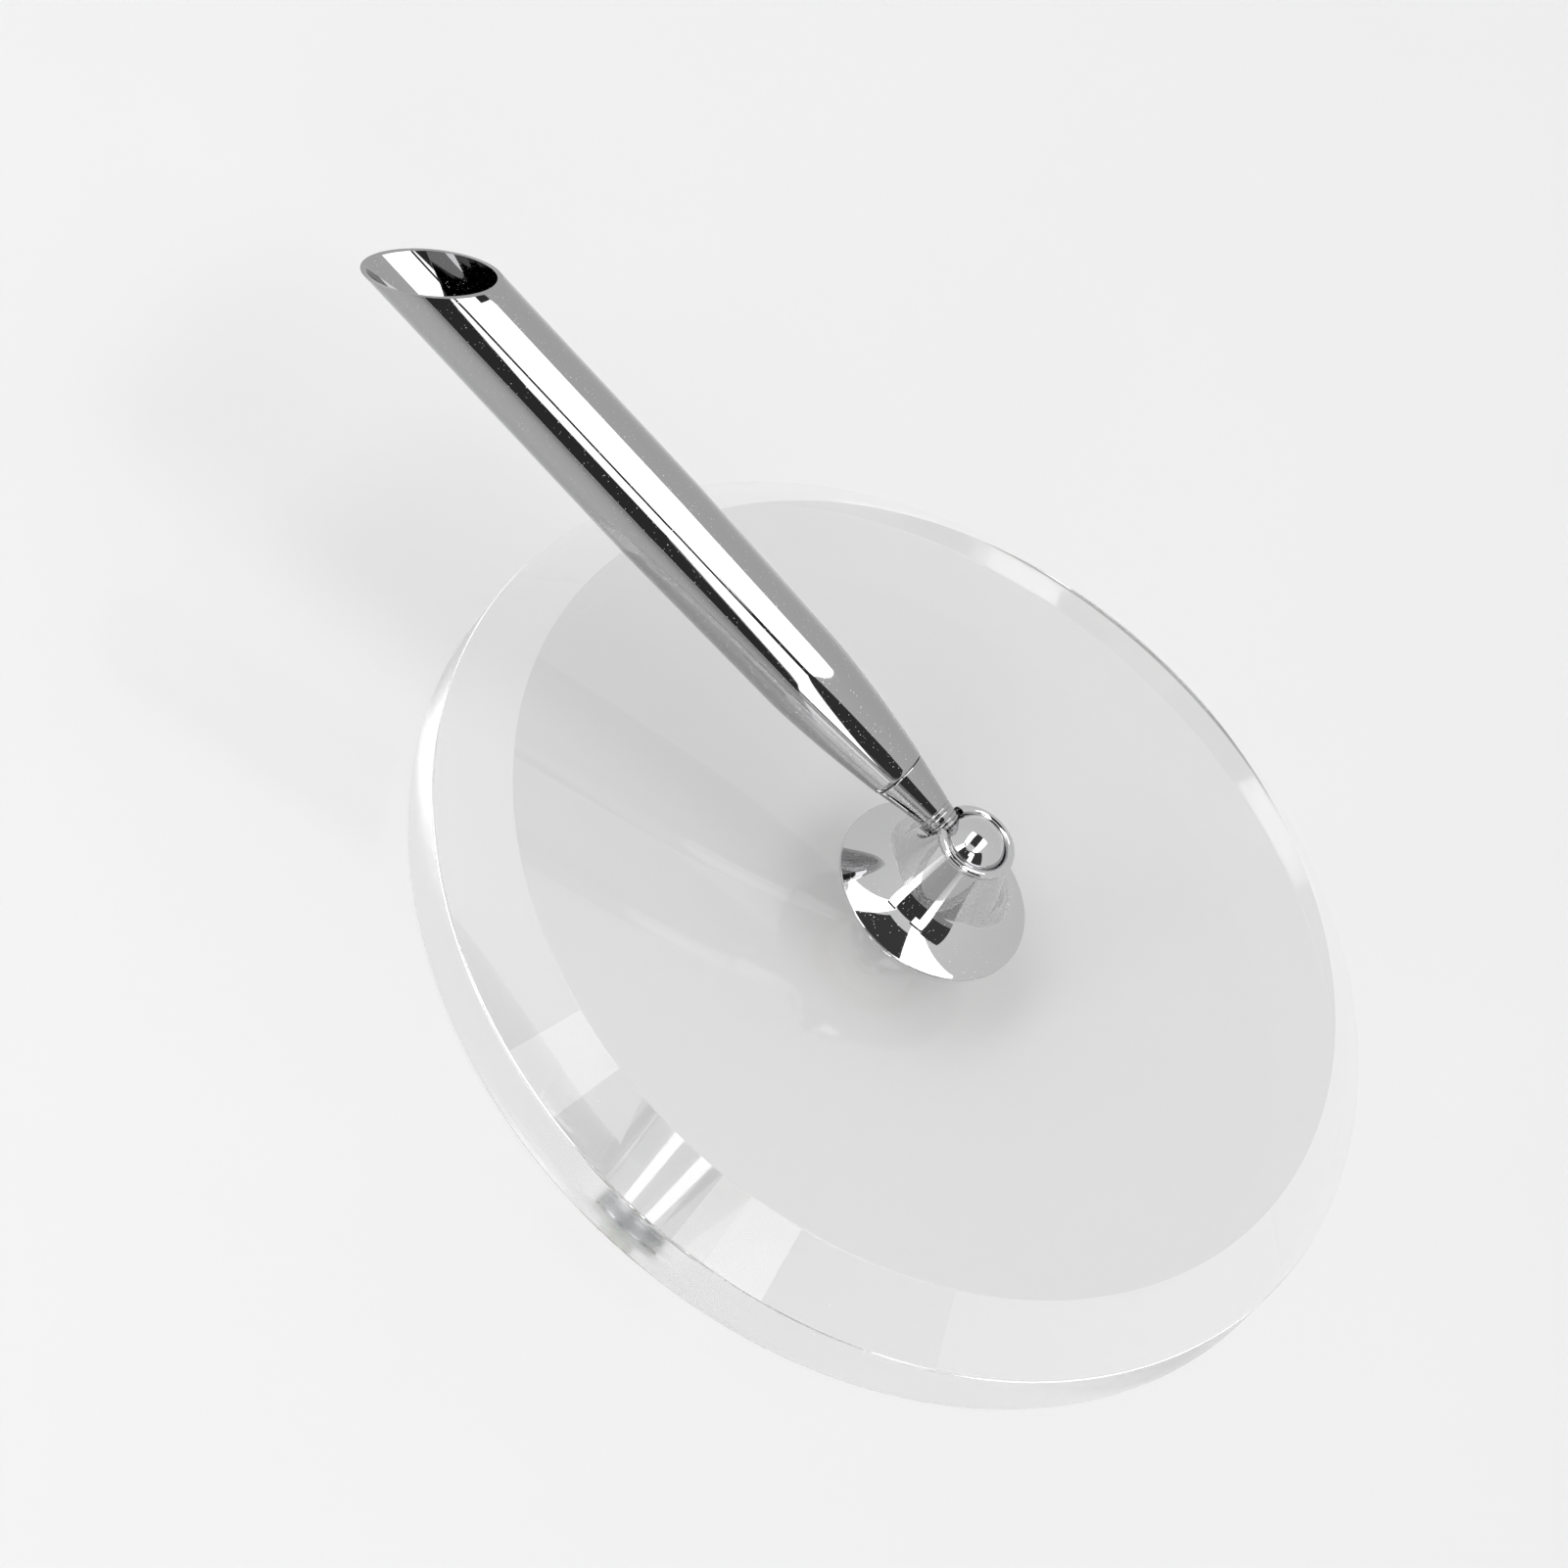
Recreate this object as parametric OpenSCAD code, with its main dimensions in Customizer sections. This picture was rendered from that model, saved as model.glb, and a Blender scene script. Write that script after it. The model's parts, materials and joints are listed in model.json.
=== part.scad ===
// Desk pen stand: a polished pen funnel on a ball joint, carried by a flared
// swivel base that turns on a thick, clear, bevelled disc of acrylic.
// The origin is the middle of the disc's underside, +Z is up, and the funnel
// leans towards -X.

/* [Disc] */
// Radius of the disc
disc_r = 63.5; // [55:0.5:75]
// Thickness of the disc
disc_h = 14.2; // [12:0.1:18]
// Radius of the flat top inside the bevel
disc_top_r = 56.2; // [48:0.1:60]
// Height of the upright side wall below the bevel
disc_side_h = 7.6; // [5:0.1:9]
// Radius of the recess for the screw's head in the underside
recess_r = 5.2; // [5:0.1:6]
// Depth of that recess
recess_h = 5.0; // [4.8:0.1:6]

/* [Swivel base] */
// Radius of the flange that lies over the disc
flange_r = 12.6; // [11:0.1:16]
// Radius of the neck just below the collar
neck_r = 4.85; // [4.8:0.05:5.1]
// Lean of the neck's cone from upright
neck_lean = 20; // [12:0.1:22]
// Slope of the flange's top from level
flange_slope = 19.5; // [10:0.1:25]
// Height of the ball's centre above the disc
ball_height = 10.1; // [9.6:0.1:10.8]
// Width of the slot that lets the funnel lie low
slot_w = 4.4; // [4.3:0.1:4.8]

/* [Ball joint] */
// Radius of the ball
ball_r = 4.2; // [4.1:0.05:4.2]
// Radius of the stem that carries the funnel
stem_r = 1.2; // [1:0.05:1.3]
// Running clearance in the joint
run_gap = 0.05; // [0.02:0.01:0.08]

/* [Funnel] */
// Outer radius of the straight tube
tube_r = 6.1; // [5.8:0.1:6.4]
// Wall thickness of the tube
tube_wall = 0.5; // [0.4:0.05:0.7]
// Distance from the ball's centre to the middle of the mouth
mouth_dist = 95.5; // [80:0.1:110]
// Angle of the mouth's cut, measured from a square cut
mouth_cut = 46; // [0:1:55]
// Turn of the mouth's short side away from straight up
mouth_turn = 13; // [-180:0.5:180]
// Rise of the funnel above level as it stands
rest_rise = 11; // [0:1:60]

/* [Hidden] */
$fn = 96;
eps = 0.01;

// Colours
chrome = [0.80, 0.80, 0.82];
steel = [0.66, 0.67, 0.68];
brass = [0.78, 0.66, 0.36];
nylon = [0.93, 0.92, 0.88];
clear = [0.88, 0.89, 0.89, 0.35];

// Disc
edge_round = 0.4;                       // ground edge at the foot and the rim

// Fixing through the disc
screw_r = 2.0;                          // M4
screw_core_r = 1.65;
thread_pitch = 0.7;
bush_flange_r = 5.6;
bush_flange_h = 0.4;
bush_r = 2.6;
bush_len = 8;
flat_washer_r = 4.5;
flat_washer_h = 0.8;
spring_washer_r = 3.5;
spring_washer_h = 1.0;
spring_washer_gap = 9;                  // degrees of the split
slip_gap = 0.02;                        // film between faces that slide
washer_hole_r = screw_r + 0.15;
screw_head_r = 3.6;
screw_head_h = 2.4;
screw_head_top = recess_h - flat_washer_h - spring_washer_h - slip_gap;
screw_head_chamfer = 0.8;
cross_w = 3.6;                          // cross recess in the head
cross_bar = 0.8;
cross_h = 1.4;
thread_start = disc_h - 1;

// Swivel base, heights counted from the top of the disc
base_lift = 0.15;                       // the flange rides just clear of the disc
flange_edge_h = 0.4;                    // thickness at the flange's thin edge
flange_top = base_lift + flange_edge_h;
rim_round = 0.15;                       // broken edge around the flange
flare_top = 11;                         // where the cone of the neck starts, under the collar
crease_h = 4.8;                         // height of the fine crease under the neck's cone
bend_lean = 26;                         // lean from upright just below the crease
bend_out = 3.8;                         // how far the bend reaches out along the flange
bend_pull = 0.7;                        // how closely the bend follows its corner
flare_steps = 16;
socket_r = ball_r + 0.1;                // bore that holds ball, seat and spring
bead_r = 0.6;                           // rolled collar around the ball
bead_ring_r = 4.55;
bead_height = ball_height + sqrt(pow(ball_r + bead_r + run_gap, 2) - pow(bead_ring_r, 2));
foot_r = 10;                            // inner edge of the flange's flat foot
hollow_h = 0.4;                         // hollow in the underside between foot and ledge
ledge_r = 6.0;                          // recess for the insert's plate
ledge_h = 1.6;
ledge_rim = 1.5;
slot_height = ball_height - 0.8;        // centre of the slot's round end

// Inside the socket
insert_plate_r = 5.9;
insert_bottom = bush_flange_h + slip_gap;
insert_top = 2.8;
seat_bottom = ball_height - ball_r - 0.9;
seat_top = ball_height - 2.2;
wire_r = 0.25;
coil_r = 3.2;
coil_turns = 3;
coil_steps = 20;                        // rings in one turn
wire_sides = 8;

// Funnel, distances counted from the ball's centre along its axis
tip_dist = 4.0;
tip_r = 1.8;
tip_bead = 0.06;                        // fine bead around the nozzle's tip
tip_bead_h = 0.4;
tip_round = 0.1;
groove = 0.1;                           // depth and half the width of a ring groove
groove_dists = [4.9, 5.8, 6.4];
seam_dist = 12.7;
seam_r = 3.45;
seam_gap = 0.12;
seam_round = 0.15;                      // broken edges on both sides of the seam
ogive_dist = 30;                        // where the nose starts to round in
straight_dist = 55;                     // where the tube becomes straight
slim_slope = 0.024;                     // slight taper between the two
nose_drop = 1.55;
spigot_r = 3.0;
spigot_len = 2.2;
stem_len = 10.4;
nose_steps = 14;
cushion_h = 2.6;
cushion_r = 2.9;
dimple_h = 1.2;                         // hollow for the pen's point
dimple_top_r = 2.2;
dimple_bottom_r = 0.3;
cut_size = 60;                          // block that cuts the mouth, wider than any tube

ball_centre = [0, 0, disc_h + ball_height];

// Outer radius of the tube at distance d from the ball's centre
function tube_outer(d) =
    d >= straight_dist ? tube_r
    : tube_r - slim_slope * (straight_dist - d)
      - (d < ogive_dist ? nose_drop * pow((ogive_dist - d) / (ogive_dist - seam_dist), 1.5) : 0);

// Outer profile of the base: a straight cone down to the crease, then a bend that
// runs out into the flange's straight slope
function bezier(p, t) =
    pow(1 - t, 3) * p[0] + 3 * pow(1 - t, 2) * t * p[1]
    + 3 * (1 - t) * t * t * p[2] + pow(t, 3) * p[3];
flange_end_r = flange_r - rim_round;
crease = [neck_r + (flare_top - crease_h) * tan(neck_lean), crease_h];
bend_rise = crease_h - flange_top - flange_end_r * tan(flange_slope);
corner_r = (crease[0] + bend_rise * tan(bend_lean)) / (1 - tan(flange_slope) * tan(bend_lean));
corner = [corner_r, flange_top + (flange_end_r - corner_r) * tan(flange_slope)];
along_flange = [cos(flange_slope), -sin(flange_slope)];
flare_curve = [
    crease,
    crease + bend_pull * (corner - crease),
    corner + bend_out * (1 - bend_pull) * along_flange,
    corner + bend_out * along_flange
];

// Ring of a helical wire: centre at angle t, in a plane through the axis
function wire_ring(t, rise) = [
    for (k = [0 : wire_sides - 1])
        let (a = 360 * k / wire_sides, r = coil_r + wire_r * cos(a))
        [r * cos(t), r * sin(t), rise * t / 360 + wire_r * sin(a)]
];

module ring(outer, inner, height) {
    difference() {
        cylinder(r = outer, h = height);
        translate([0, 0, -1])
            cylinder(r = inner, h = height + 2);
    }
}

// Carries a part drawn up +Z from the ball's centre to where the funnel stands
module on_funnel_axis() {
    translate(ball_centre)
        rotate([0, rest_rise - 90, 0])
            children();
}

module disc_base() {
    color(clear)
        difference() {
            rotate_extrude()
                polygon([
                    [0, 0],
                    [disc_r - edge_round, 0],
                    [disc_r, edge_round],
                    [disc_r, disc_side_h - edge_round],
                    [disc_r - edge_round, disc_side_h],
                    [disc_top_r, disc_h],
                    [0, disc_h]
                ]);
            translate([0, 0, -1])
                cylinder(r = recess_r, h = recess_h + 1);
            cylinder(r = bush_r, h = disc_h + 1);
        }
}

// Flanged sleeve that keeps the metal off the disc
module disc_bush() {
    color(nylon)
        difference() {
            union() {
                translate([0, 0, disc_h])
                    cylinder(r = bush_flange_r, h = bush_flange_h);
                translate([0, 0, disc_h - bush_len])
                    cylinder(r = bush_r, h = bush_len + eps);
            }
            cylinder(r = screw_r + run_gap, h = disc_h + 1);
        }
}

module flat_washer() {
    color(steel)
        translate([0, 0, recess_h - flat_washer_h])
            ring(flat_washer_r, washer_hole_r, flat_washer_h);
}

module spring_washer() {
    color(steel)
        translate([0, 0, recess_h - flat_washer_h - spring_washer_h])
            rotate_extrude(angle = 360 - spring_washer_gap)
                translate([washer_hole_r, 0])
                    square([spring_washer_r - washer_hole_r, spring_washer_h]);
}

module screw_thread(from, to) {
    turns = floor((to - from) / thread_pitch);
    rotate_extrude()
        polygon(concat(
            [[0, from]],
            [for (k = [0 : turns - 1], p = [
                [screw_core_r, from + k * thread_pitch],
                [screw_r, from + (k + 0.4) * thread_pitch],
                [screw_r, from + (k + 0.6) * thread_pitch]
            ]) p],
            [[screw_core_r, from + turns * thread_pitch], [0, from + turns * thread_pitch]]
        ));
}

module cross_recess() {
    for (a = [0, 90])
        rotate([0, 0, a])
            translate([-cross_w / 2, -cross_bar / 2, -1])
                cube([cross_w, cross_bar, cross_h + 1]);
}

module base_screw() {
    head_bottom = screw_head_top - screw_head_h;
    color(steel)
        difference() {
            union() {
                translate([0, 0, head_bottom + screw_head_chamfer])
                    cylinder(r = screw_head_r, h = screw_head_h - screw_head_chamfer);
                translate([0, 0, head_bottom])
                    cylinder(r1 = screw_head_r - screw_head_chamfer, r2 = screw_head_r,
                             h = screw_head_chamfer);
                translate([0, 0, screw_head_top - eps])
                    cylinder(r = screw_r, h = thread_start - screw_head_top + 2 * eps);
                screw_thread(thread_start, disc_h + insert_top);
            }
            translate([0, 0, head_bottom])
                cross_recess();
        }
}

module base_shell() {
    top = bead_height;
    rotate_extrude()
        polygon(concat(
            [[foot_r, base_lift], [flange_end_r, base_lift],
             [flange_r, base_lift + rim_round], [flange_r, flange_top - rim_round],
             [flange_end_r, flange_top]],
            [for (k = [flare_steps : -1 : 0]) bezier(flare_curve, k / flare_steps)],
            [[neck_r, flare_top], [neck_r, top], [socket_r, top], [socket_r, ledge_h], [ledge_r, ledge_h],
             [ledge_r + ledge_rim, base_lift + hollow_h], [foot_r - hollow_h, base_lift + hollow_h]]
        ));
}

module swivel_base() {
    color(chrome)
        translate([0, 0, disc_h])
            difference() {
                union() {
                    base_shell();
                    translate([0, 0, bead_height])
                        rotate_extrude()
                            translate([bead_ring_r, 0])
                                circle(r = bead_r);
                }
                translate([0, 0, slot_height])
                    rotate([0, -90, 0])
                        cylinder(r = slot_w / 2, h = 2 * neck_r);
                translate([-2 * neck_r, -slot_w / 2, slot_height])
                    cube([2 * neck_r, slot_w, ball_height]);
            }
}

// Plate and boss pressed into the base's underside, tapped for the screw
module base_insert() {
    color(brass)
        translate([0, 0, disc_h])
            difference() {
                union() {
                    translate([0, 0, insert_bottom])
                        cylinder(r = insert_plate_r, h = ledge_h - insert_bottom);
                    translate([0, 0, ledge_h - eps])
                        cylinder(r = socket_r, h = insert_top - ledge_h + eps);
                }
                cylinder(r = screw_r, h = insert_top + 1);
            }
}

module seat_spring() {
    length = seat_bottom - insert_top - 2 * wire_r;
    steps = coil_turns * coil_steps;
    rise = length / coil_turns;
    rings = [for (i = [0 : steps]) wire_ring(360 * i / coil_steps, rise)];
    points = [for (r = rings, p = r) p];
    sides = [
        for (i = [0 : steps - 1], k = [0 : wire_sides - 1])
            let (n = (k + 1) % wire_sides)
            [i * wire_sides + k, i * wire_sides + n,
             (i + 1) * wire_sides + n, (i + 1) * wire_sides + k]
    ];
    first_cap = [for (k = [wire_sides - 1 : -1 : 0]) k];
    last_cap = [for (k = [0 : wire_sides - 1]) steps * wire_sides + k];
    color(steel)
        translate([0, 0, disc_h + insert_top + wire_r])
            polyhedron(points = points, faces = concat(sides, [first_cap, last_cap]));
}

// Cup that the spring pushes up against the ball
module ball_seat() {
    color(nylon)
        difference() {
            translate([0, 0, disc_h + seat_bottom])
                cylinder(r = socket_r - run_gap, h = seat_top - seat_bottom);
            translate(ball_centre)
                sphere(r = ball_r + run_gap);
        }
}

module ball_stud() {
    color(chrome)
        on_funnel_axis() {
            sphere(r = ball_r);
            cylinder(r = stem_r, h = stem_len);
        }
}

module funnel_nozzle() {
    taper = (seam_r - tip_r) / (seam_dist - tip_dist);
    tip_bead_r = tip_r + tip_bead;
    color(chrome)
        on_funnel_axis()
            difference() {
                union() {
                    rotate_extrude()
                        polygon(concat(
                            [[0, tip_dist], [tip_r - tip_round, tip_dist],
                             [tip_bead_r, tip_dist + tip_round],
                             [tip_bead_r, tip_dist + tip_bead_h]],
                            [for (d = groove_dists, p = [
                                [tip_r + taper * (d - tip_dist - groove), d - groove],
                                [tip_r + taper * (d - tip_dist) - groove, d],
                                [tip_r + taper * (d - tip_dist + groove), d + groove]
                            ]) p],
                            [[seam_r - seam_round * taper, seam_dist - seam_round],
                             [seam_r - seam_round, seam_dist], [0, seam_dist]]
                        ));
                    translate([0, 0, seam_dist - eps])
                        cylinder(r = spigot_r - slip_gap, h = spigot_len + eps);
                }
                cylinder(r = stem_r + run_gap, h = stem_len + seam_gap);
            }
}

module funnel_tube() {
    start = seam_dist + seam_gap;
    spigot_end = seam_dist + spigot_len;
    nose_start = start + seam_round;
    dists = [for (k = [0 : nose_steps]) nose_start + (ogive_dist - nose_start) * k / nose_steps];
    nose = [for (d = dists) [tube_outer(d), d]];
    bore = [for (k = [nose_steps : -1 : 2]) [tube_outer(dists[k]) - tube_wall, dists[k]]];
    far_end = mouth_dist + tube_r * tan(mouth_cut) + 1;
    color(chrome)
        on_funnel_axis()
            difference() {
                rotate_extrude()
                    polygon(concat(
                        [[spigot_r, start], [tube_outer(start) - seam_round, start]],
                        nose,
                        [[tube_r, straight_dist], [tube_r, far_end],
                         [tube_r - tube_wall, far_end], [tube_r - tube_wall, straight_dist]],
                        bore,
                        [[spigot_r, spigot_end]]
                    ));
                rotate([0, 0, mouth_turn])
                    translate([0, 0, mouth_dist])
                        rotate([0, mouth_cut, 0])
                            translate([-cut_size / 2, -cut_size / 2, 0])
                                cube(cut_size);
            }
}

// Pad at the bottom of the tube that the pen's point stands on
module tip_cushion() {
    start = seam_dist + spigot_len;
    color("dimgray")
        on_funnel_axis()
            difference() {
                translate([0, 0, start])
                    cylinder(r = cushion_r, h = cushion_h);
                translate([0, 0, start + cushion_h - dimple_h])
                    cylinder(r1 = dimple_bottom_r, r2 = dimple_top_r, h = dimple_h + eps);
            }
}

disc_base();
disc_bush();
flat_washer();
spring_washer();
base_screw();
swivel_base();
base_insert();
seat_spring();
ball_seat();
ball_stud();
funnel_nozzle();
funnel_tube();
tip_cushion();
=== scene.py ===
import json
import math

import bmesh
import bpy
from mathutils import Matrix, Vector

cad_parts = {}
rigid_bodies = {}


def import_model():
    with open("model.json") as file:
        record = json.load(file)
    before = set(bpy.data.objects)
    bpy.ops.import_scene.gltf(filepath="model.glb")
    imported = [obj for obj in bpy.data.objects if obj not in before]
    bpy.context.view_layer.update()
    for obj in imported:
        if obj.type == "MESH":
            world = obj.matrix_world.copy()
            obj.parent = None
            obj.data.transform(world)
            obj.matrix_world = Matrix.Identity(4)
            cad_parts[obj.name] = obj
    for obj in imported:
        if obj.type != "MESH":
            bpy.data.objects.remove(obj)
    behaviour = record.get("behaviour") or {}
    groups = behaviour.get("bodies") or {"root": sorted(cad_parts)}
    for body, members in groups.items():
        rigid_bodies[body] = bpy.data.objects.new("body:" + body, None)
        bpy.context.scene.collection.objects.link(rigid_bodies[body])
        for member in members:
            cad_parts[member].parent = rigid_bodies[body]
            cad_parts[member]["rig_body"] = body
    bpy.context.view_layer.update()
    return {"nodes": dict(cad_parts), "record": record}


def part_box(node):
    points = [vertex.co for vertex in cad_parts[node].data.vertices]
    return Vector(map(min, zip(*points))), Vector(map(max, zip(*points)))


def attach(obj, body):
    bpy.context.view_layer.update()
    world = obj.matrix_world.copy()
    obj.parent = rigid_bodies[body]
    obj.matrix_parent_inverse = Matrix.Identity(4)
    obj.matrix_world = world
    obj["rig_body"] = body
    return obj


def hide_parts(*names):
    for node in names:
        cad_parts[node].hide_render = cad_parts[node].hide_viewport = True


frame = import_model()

# ------------------------------------------------------------------ sizes
# Shapes are worked out in millimetres in the row frame and become metres when a mesh is made.
# What the frame can tell is read from it; the rest repeats the CAD source's own dimensions.
MM = 0.001


def corners_mm(node):
    """Lowest and highest corner of a CAD node, in millimetres."""
    low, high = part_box(node)
    return low / MM, high / MM


_, disc_high = corners_mm("disc_base")
base_low, base_high = corners_mm("swivel_base")
stud_low, stud_high = corners_mm("ball_stud")
_, tube_high = corners_mm("funnel_tube")
bush_low, bush_high = corners_mm("disc_bush")
insert_low, insert_high = corners_mm("base_insert")
screw_low, screw_high = corners_mm("base_screw")
flat_washer_low, flat_washer_high = corners_mm("flat_washer")
spring_washer_low, spring_washer_high = corners_mm("spring_washer")
seat_low, seat_high = corners_mm("ball_seat")
socket_mount = next(m for m in frame["record"]["mounts"] if m["name"] == "pen_socket")

# Disc
disc_r = disc_high.x
disc_h = disc_high.z
disc_top_r = 56.2
disc_side_h = 7.22          # where the upright wall meets the line of the bevel
recess_r = 5.2
recess_h = 5.0
disc_hole_r = 2.6           # the bush's sleeve fills this hole

# Swivel base
flange_r = base_high.x
base_foot = base_low.z
flange_top = base_foot + 0.4
rim_round = 0.15
flange_slope = math.radians(19.5)
neck_r = 4.85
neck_lean = math.radians(20)
flare_top = disc_h + 11
crease_z = disc_h + 4.8     # the cone ends in a fine crease here
bend_lean = math.radians(26)
bend_out = 3.8              # how far out along the flange the bend reaches
bend_pull = 0.7             # how close the bend keeps to the corner that it rounds
socket_r = 4.3
bead_r = 0.6
bead_ring_r = 4.55
bead_z = base_high.z - bead_r
foot_r = 10
hollow_h = 0.4
ledge_r = 6.0
ledge_h = disc_h + 1.6
ledge_rim = 1.5
slot_w = 4.4
slot_z = disc_h + 9.3

# Ball joint and funnel: distances along the funnel's axis start at the ball's centre
ball_r = stud_high.x
ball_centre = Vector((0, 0, stud_low.z + ball_r))
stem_r = 1.2
stem_len = 10.4
run_gap = 0.05
funnel_axis = Vector(socket_mount["axis"])
rest_rise = math.asin(funnel_axis.z)
tube_r = tube_high.y
bore_r = socket_mount["dims"]["r_mm"]
tube_wall = tube_r - bore_r
tip_dist = 4.0
tip_r = 1.8
groove_dists = (4.9, 5.8, 6.4)
groove_half = 0.16
groove_deep = 0.1
seam_dist = 12.7
seam_r = 3.45
seam_gap = 0.12
seam_bevel = 0.13
ogive_dist = 30
straight_dist = 55
slim_slope = 0.024
nose_drop = 1.55
spigot_r = 3.0
spigot_len = 2.2
bore_low = 15.5             # where the tube's bore begins, above the nozzle's spigot
mouth_dist = 95.5
mouth_cut = math.radians(46)
mouth_turn = math.radians(13)
cushion_h = 2.6
cushion_r = 2.9

# Fixing
screw_r = 2.0
screw_core_r = 1.65
screw_head_r = 3.6
screw_head_h = 2.4
washer_play = 0.15
thread_pitch = 0.7
wire_r = 0.25
coil_r = 3.2
coil_turns = 3

# Carries what is drawn up +Z from the ball's centre to where the funnel stands
on_funnel = Matrix.Translation(ball_centre) @ Matrix.Rotation(rest_rise - math.pi / 2, 4, "Y")

# ------------------------------------------------------------------ mesh helpers


def spread(first, last, steps):
    """Evenly spaced values from first to last, both included."""
    return [first + (last - first) * k / steps for k in range(steps + 1)]


def round_point(r, angle, z):
    """Point at radius r from the axis, at an angle round it in radians, and at height z."""
    return Vector((r * math.cos(angle), r * math.sin(angle), z))


def turns(count):
    """Angles of count even steps round the axis, in radians."""
    return [2 * math.pi * k / count for k in range(count)]


def blended(corners, steps=6):
    """Outline through (r, z, reach) corners. A corner with a reach becomes a smooth bend, which starts and
    ends that far from it."""
    outline = []
    for i, (r, z, reach) in enumerate(corners):
        here = Vector((r, z))
        if reach == 0:
            outline.append(here)
            continue
        start = here + (Vector(corners[i - 1][:2]) - here).normalized() * reach
        end = here + (Vector(corners[(i + 1) % len(corners)][:2]) - here).normalized() * reach
        outline += [(1 - t) ** 2 * start + 2 * t * (1 - t) * here + t * t * end for t in spread(0, 1, steps)]
    return outline


def arc(centre_r, centre_z, radius, start, end, steps):
    """Outline points on an arc, angles in degrees from +r towards +z."""
    angles = [math.radians(a) for a in spread(start, end, steps)]
    return [Vector((centre_r + radius * math.cos(a), centre_z + radius * math.sin(a))) for a in angles]


def bezier(points, t):
    """Point at t on a cubic Bezier curve."""
    a, b, c, d = (Vector(p) for p in points)
    return (1 - t) ** 3 * a + 3 * (1 - t) ** 2 * t * b + 3 * (1 - t) * t * t * c + t ** 3 * d


def bridge(mesh, ring_a, ring_b):
    """Faces between two rings of vertices; a ring of one vertex is a pole."""
    count = max(len(ring_a), len(ring_b))
    for k in range(count):
        n = (k + 1) % count
        corners = (ring_a[k % len(ring_a)], ring_a[n % len(ring_a)],
                   ring_b[n % len(ring_b)], ring_b[k % len(ring_b)])
        face = []
        for v in corners:
            if v not in face:
                face.append(v)
        if len(face) > 2:
            mesh.faces.new(face)


def lathe(outline, segments, place=None, closed=False):
    """Solid of revolution about +Z, from an outline of (r, z) points in millimetres."""
    place = place or Matrix.Identity(4)
    mesh = bmesh.new()
    rings = []
    for r, z in outline:
        on_axis = r < 1e-6
        angles = [0.0] if on_axis else turns(segments)
        rings.append([mesh.verts.new(place @ round_point(r, a, z) * MM) for a in angles])
    if closed:
        rings.append(rings[0])
    for ring_a, ring_b in zip(rings, rings[1:]):
        bridge(mesh, ring_a, ring_b)
    return mesh


def sweep(rings, closed=False):
    """Solid through a list of rings of points in millimetres. It has a cap at each end, unless it closes
    on itself."""
    mesh = bmesh.new()
    verts = [[mesh.verts.new(Vector(p) * MM) for p in ring] for ring in rings]
    pairs = list(zip(verts, verts[1:]))
    if closed:
        pairs.append((verts[-1], verts[0]))
    else:
        mesh.faces.new(verts[0])
        mesh.faces.new(verts[-1])
    for ring_a, ring_b in pairs:
        bridge(mesh, ring_a, ring_b)
    return mesh


def new_object(name, mesh):
    """Object from a bmesh, with outward faces."""
    bmesh.ops.recalc_face_normals(mesh, faces=mesh.faces)
    data = bpy.data.meshes.new(name)
    mesh.to_mesh(data)
    mesh.free()
    obj = bpy.data.objects.new(name, data)
    bpy.context.scene.collection.objects.link(obj)
    return obj


def cut(obj, cutter_mesh):
    """Takes a solid away from an object, and throws the cutter away."""
    cutter = new_object("cutter", cutter_mesh)
    step = obj.modifiers.new("cut", "BOOLEAN")
    step.operation = "DIFFERENCE"
    step.solver = "EXACT"
    step.object = cutter
    bpy.context.view_layer.update()
    evaluated = obj.evaluated_get(bpy.context.evaluated_depsgraph_get())
    result = bpy.data.meshes.new_from_object(evaluated)
    obj.modifiers.remove(step)
    obj.data = result
    bpy.data.objects.remove(cutter)


def dress(obj, node, material, crease=30):
    """Shades a piece, gives it its material, and puts it in the place of its CAD node."""
    obj.data.materials.clear()
    obj.data.materials.append(material)
    obj.data.shade_smooth()
    obj.data.set_sharp_from_angle(angle=math.radians(crease))
    even = obj.modifiers.new("even shading", "WEIGHTED_NORMAL")
    even.keep_sharp = True
    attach(obj, frame["nodes"][node]["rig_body"])
    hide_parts(node)
    return obj


# ------------------------------------------------------------------ material helpers


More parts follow.
